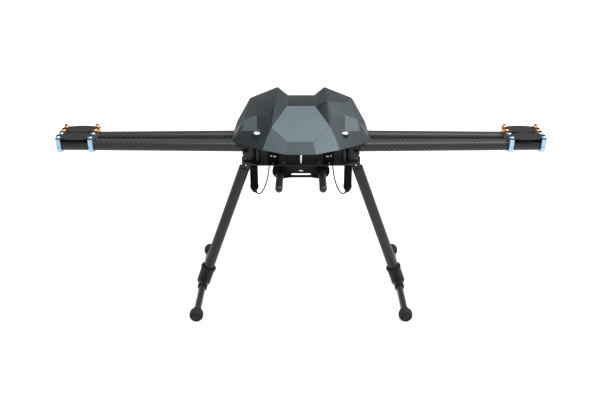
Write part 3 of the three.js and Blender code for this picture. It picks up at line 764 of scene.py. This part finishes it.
def canopy_sheet():
    """The canopy's outer faces, each with the direction and contrast of its weave and a painted shade
    level.
    """
    bm = bmesh.new()
    weave = bm.loops.layers.uv.new("weave")
    ribs_and_painted_shade = bm.loops.layers.float_color.new("ribs_and_painted_shade")
    verts = {}

    def corner(name, side):
        if (name, side) not in verts:
            x, y, z = CORNERS[name]
            verts[name, side] = bm.verts.new((side * x, y, z + ARM_Z))
        return verts[name, side]

    # contrast partly paints how the light catches the weave; tone is a painted shade level
    def add_face(points, ribs, contrast, tone):
        face = bm.faces.new(points)
        face.normal_update()
        if face.normal.dot(face.calc_center_median() - Vector((0, 0, ARM_Z))) < 0:
            face.normal_flip()
        along = (ribs - face.normal * ribs.dot(face.normal)).normalized()
        across = face.normal.cross(along)
        u, v = (along - across).normalized(), (along + across).normalized()
        for loop in face.loops:
            loop[weave].uv = (loop.vert.co.dot(u) * MM, loop.vert.co.dot(v) * MM)
            loop[ribs_and_painted_shade] = (contrast, tone, 0.0, 1.0)

    for names, (start, finish), contrast, tone in FACETS:
        for _, s in SIDES:
            ribs = corner(finish, s).co - corner(start, s).co
            add_face([corner(name, s) for name in names], ribs, contrast, tone)
    for names, contrast, tone in MIDDLE:
        right = [corner(name, 1) for name in names]
        left = [corner(name, -1) for name in reversed(names)]
        add_face(right + left, Vector((0.6, 1.0, 0.4)), contrast, tone)
    return bm


def disc(radius, low, high):
    """A solid disc standing on a height."""
    return turned([(0.0, low), (radius, low), (radius, high), (0.0, high)], 32)


def plain_object(name, bm, material):
    """A mesh object for a modifier to use, with no part in the model itself."""
    bmesh.ops.recalc_face_normals(bm, faces=bm.faces)
    mesh = bpy.data.meshes.new(name)
    bm.to_mesh(mesh)
    bm.free()
    mesh.transform(Matrix.Scale(MM, 4))
    mesh.materials.append(material)
    made = bpy.data.objects.new(name, mesh)
    bpy.context.scene.collection.objects.link(made)
    return made


FACET_EASING = 2.0
CANOPY_WALL = 2.0
POCKET_TOP = 62.0
SEAT_BORE = 3.4
SEAT_DEPTH = 10.0
SEAT_GAP = 0.1


def canopy():
    """The folded shell, eased along its facets, with a round well for each thumb nut."""
    bm = canopy_sheet()
    mesh = bpy.data.meshes.new("canopy_shell")
    bm.to_mesh(mesh)
    bm.free()
    mesh.transform(Matrix.Scale(MM, 4))
    mesh.materials.append(CANOPY_SKIN)
    mesh.materials.append(CANOPY_EDGE)
    shell = bpy.data.objects.new("canopy_shell", mesh)
    bpy.context.scene.collection.objects.link(shell)
    easing = shell.modifiers.new("easing", "BEVEL")
    easing.width = FACET_EASING * MM
    easing.segments = 3
    easing.limit_method = "ANGLE"
    easing.angle_limit = math.radians(4.0)
    wall = shell.modifiers.new("wall", "SOLIDIFY")
    wall.thickness = CANOPY_WALL * MM
    wall.offset = -1.0
    wall.use_even_offset = True
    wall.material_offset = 1
    wall.material_offset_rim = 1
    cutters = []
    for side, sx in SIDES:
        pocket = collect([(disc(SEAT_R, SEAT_Z, POCKET_TOP), at(sx * NUT_X, NUT_Y, ARM_Z))])
        cutters.append(plain_object(f"pocket_{side}", pocket, CANOPY_WELL))
        hole = shell.modifiers.new(f"pocket_{side}", "BOOLEAN")
        hole.operation = "DIFFERENCE"
        hole.solver = "EXACT"
        hole.object = cutters[-1]
    bpy.context.view_layer.update()
    graph = bpy.context.evaluated_depsgraph_get()
    solid = bpy.data.meshes.new_from_object(shell.evaluated_get(graph))
    for spare in [shell, *cutters]:
        bpy.data.objects.remove(spare)
    looks = [CANOPY_SKIN, CANOPY_EDGE, CANOPY_WELL]
    finish_mesh("canopy_skin", solid, looks, "canopy", ("canopy",), crease_deg=14.0)


canopy()
for side, sx in SIDES:
    rim, low = SEAT_R - SEAT_GAP, SEAT_Z - SEAT_DEPTH
    seat = turned([(SEAT_BORE, low), (rim, low), (rim, SEAT_Z), (SEAT_BORE, SEAT_Z)], 32, closed=True)
    bm = collect([(seat, at(sx * NUT_X, NUT_Y, ARM_Z))])
    finish_piece(f"nut_seat_{side}", bm, CANOPY_EDGE, "canopy", bevel=0.4)


# ---------------------------------------------------------------- fasteners
def fasteners(name, body, screws, materials):
    """One piece holding several screws, each (bmesh, matrix)."""
    return finish_piece(name, collect(screws), materials, body, crease_deg=40.0)


SCREW_ACROSS = 11.4
for end, sy in ENDS:
    for side, sx in SIDES:
        label = f"{end}_{side}"
        colour = BLUE if end == "front" else ORANGE
        screws = []
        for clamp in (-1, 1):
            for across in (-1, 1):
                place = at(MOTOR_REACH + clamp * CLAMP_OFFSET, across * SCREW_ACROSS, MOTOR_PLATE_TOP)
                screws.append((cup_screw(), arm_frame(sx, sy) @ place))
        fasteners(f"clamp_screws_{label}", f"arm_{label}", screws, [BLACK_METAL, colour])

PLATE_SCREWS = ((61.0, -56.0), (37.0, -58.0), (96.0, -30.0), (61.0, 56.0), (37.0, 58.0), (96.0, 30.0))
hub_screws = [
    (socket_screw(2.3, 1.6), at(sx * x, y, ARM_Z + BOTTOM_PLATE_TOP))
    for _, sx in SIDES
    for x, y in PLATE_SCREWS
]
fasteners("plate_screws", "hub", hub_screws, [SILVER])
for side, sx in SIDES:
    axle = []
    for sy in (-1, 1):
        place = at(sx * LEG_PIVOT[0], sy * BRACKET_HALF, ARM_Z + LEG_PIVOT[1], turn_out(sy))
        axle.append((socket_screw(1.7, 1.4), place))
    fasteners(f"axle_screws_{side}", "hub", axle, [SILVER])


# ---------------------------------------------------------------- hub detail
def block(low, high):
    """A box between two corners."""
    bm = bmesh.new()
    bmesh.ops.create_cube(bm, size=1.0)
    for vert in bm.verts:
        vert.co = Vector(l + (h - l) * (c + 0.5) for l, h, c in zip(low, high, vert.co))
    return bm


def pin_profile(radius, half):
    """A short pin along Z, with its lower end eased."""
    ease = 0.4
    return [(0.0, -half), (radius - ease, -half), (radius, ease - half), (radius, half), (0.0, half)]


SPACER_X = (48.0, 72.0)
SPACER_Y = (-54.0, -46.0)
LUG_Y = (-56.0, -53.0)
LUG_Z = (-24.0, -4.0)
LUG_INSET = 3.0
PIN_Y = -57.4
PINS = ((57.0, -12.4, 1.9, 2.6), (64.6, -11.0, 1.5, 2.0))  # x, height, radius, half length
for side, sx in SIDES:
    x1, x2 = sorted(sx * x for x in SPACER_X)
    post = block((x1, SPACER_Y[0], BOTTOM_PLATE_TOP), (x2, SPACER_Y[1], TOP_PLATE_LOW))
    lug = block((x1 + LUG_INSET, LUG_Y[0], LUG_Z[0]), (x2 - LUG_INSET, LUG_Y[1], LUG_Z[1]))
    spacer = collect([(post, HUB_FRAME), (lug, HUB_FRAME)])
    finish_piece(f"hub_spacer_{side}", spacer, BLACK_PLASTIC, "hub", bevel=1.0)
    pins = [
        (turned(pin_profile(radius, half), 20), at(sx * x, PIN_Y, ARM_Z + z, TURN_TO_X))
        for x, z, radius, half in PINS
    ]
    finish_piece(f"spacer_pin_{side}", collect(pins), SILVER, "hub")


# ---------------------------------------------------------------- floor and light
FLOOR_HALF = 15
WHITE = (1.0, 1.0, 1.0, 1.0)
floor_corners = [(x * FLOOR_HALF, y * FLOOR_HALF, 0) for x, y in ((-1, -1), (1, -1), (1, 1), (-1, 1))]
floor = bpy.data.objects.new("floor", bpy.data.meshes.new("floor"))
floor.data.from_pydata(floor_corners, [], [(0, 1, 2, 3)])
bpy.context.scene.collection.objects.link(floor)
paper = Look("paper", Roughness=0.9, Specular_IOR_Level=0.1, Emission_Strength=0.76)
paper.shader.inputs["Emission Color"].default_value = WHITE
fibre = paper.ramp(paper.noise(40.0), 0.0, 1.0)
paper_tone = paper.mix(fibre, (0.39, 0.39, 0.39), (0.41, 0.41, 0.41))
floor.data.materials.append(paper.use(Base_Color=paper_tone))

world = bpy.data.worlds.new("studio")
world.use_nodes = True
background = world.node_tree.nodes["Background"]
background.inputs["Color"].default_value = WHITE
background.inputs["Strength"].default_value = 0.8
bpy.context.scene.world = world


def softbox(name, location, target, size, watts):
    """A rectangular area light aimed at a point."""
    data = bpy.data.lights.new(name, "AREA")
    data.shape = "RECTANGLE"
    data.size, data.size_y = size
    data.energy = watts
    light = bpy.data.objects.new(name, data)
    light.location = location
    light.rotation_euler = (Vector(target) - Vector(location)).to_track_quat("-Z", "Y").to_euler()
    bpy.context.scene.collection.objects.link(light)


softbox("overhead", (0.2, -0.6, 2.4), (0.0, 0.0, 0.4), (1.6, 1.2), 42.0)
softbox("key", (1.6, -0.6, 2.1), (0.1, 0.0, 0.4), (1.0, 1.0), 45.0)
softbox("side", (1.55, 0.55, 1.85), (0.1, 0.0, 0.42), (0.7, 0.7), 9.0)
bpy.context.scene.view_settings.view_transform = "Standard"
